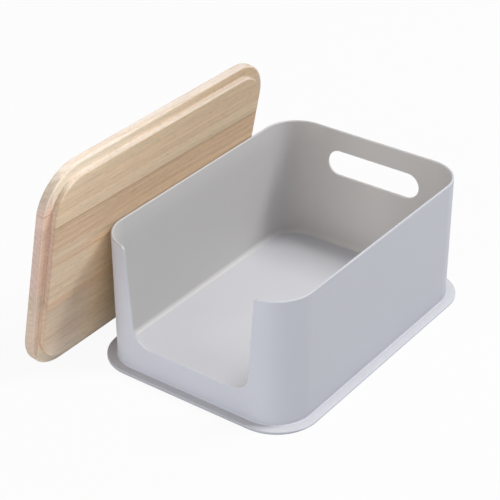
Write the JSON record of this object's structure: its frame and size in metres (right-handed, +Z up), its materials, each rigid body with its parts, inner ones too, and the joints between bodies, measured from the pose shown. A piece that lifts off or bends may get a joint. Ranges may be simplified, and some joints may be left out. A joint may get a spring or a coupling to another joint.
{
  "type": "open-front storage bin with lid",
  "caption": "Open-front plastic storage bin with a grip slot, a foot flange for stacking, and a wooden lid that leans beside it.",
  "frame": {"origin": "centre of the foot of the bin, on the surface it stands on", "axes": "+X across the bin, away from the leaning lid; +Y along the bin, from the open front to the grip slot; +Z up"},
  "size_m": [0.23, 0.3335, 0.1963],
  "materials": {
    "bin_plastic": "fine matte, cool light grey",
    "lid_wood": "sanded, unvarnished, pale straight grain"
  },
  "bodies": {
    "bin": {"bin_shell": "bin_plastic"},
    "lid": {"lid_board_1": "lid_wood", "lid_board_2": "lid_wood", "lid_board_3": "lid_wood"}
  },
  "joints": [
    {"name": "lid_lift", "type": "slide", "parent": "bin", "child": "lid", "axis": [0, 0, 1], "range_m": [0, 0.125]}
  ]
}
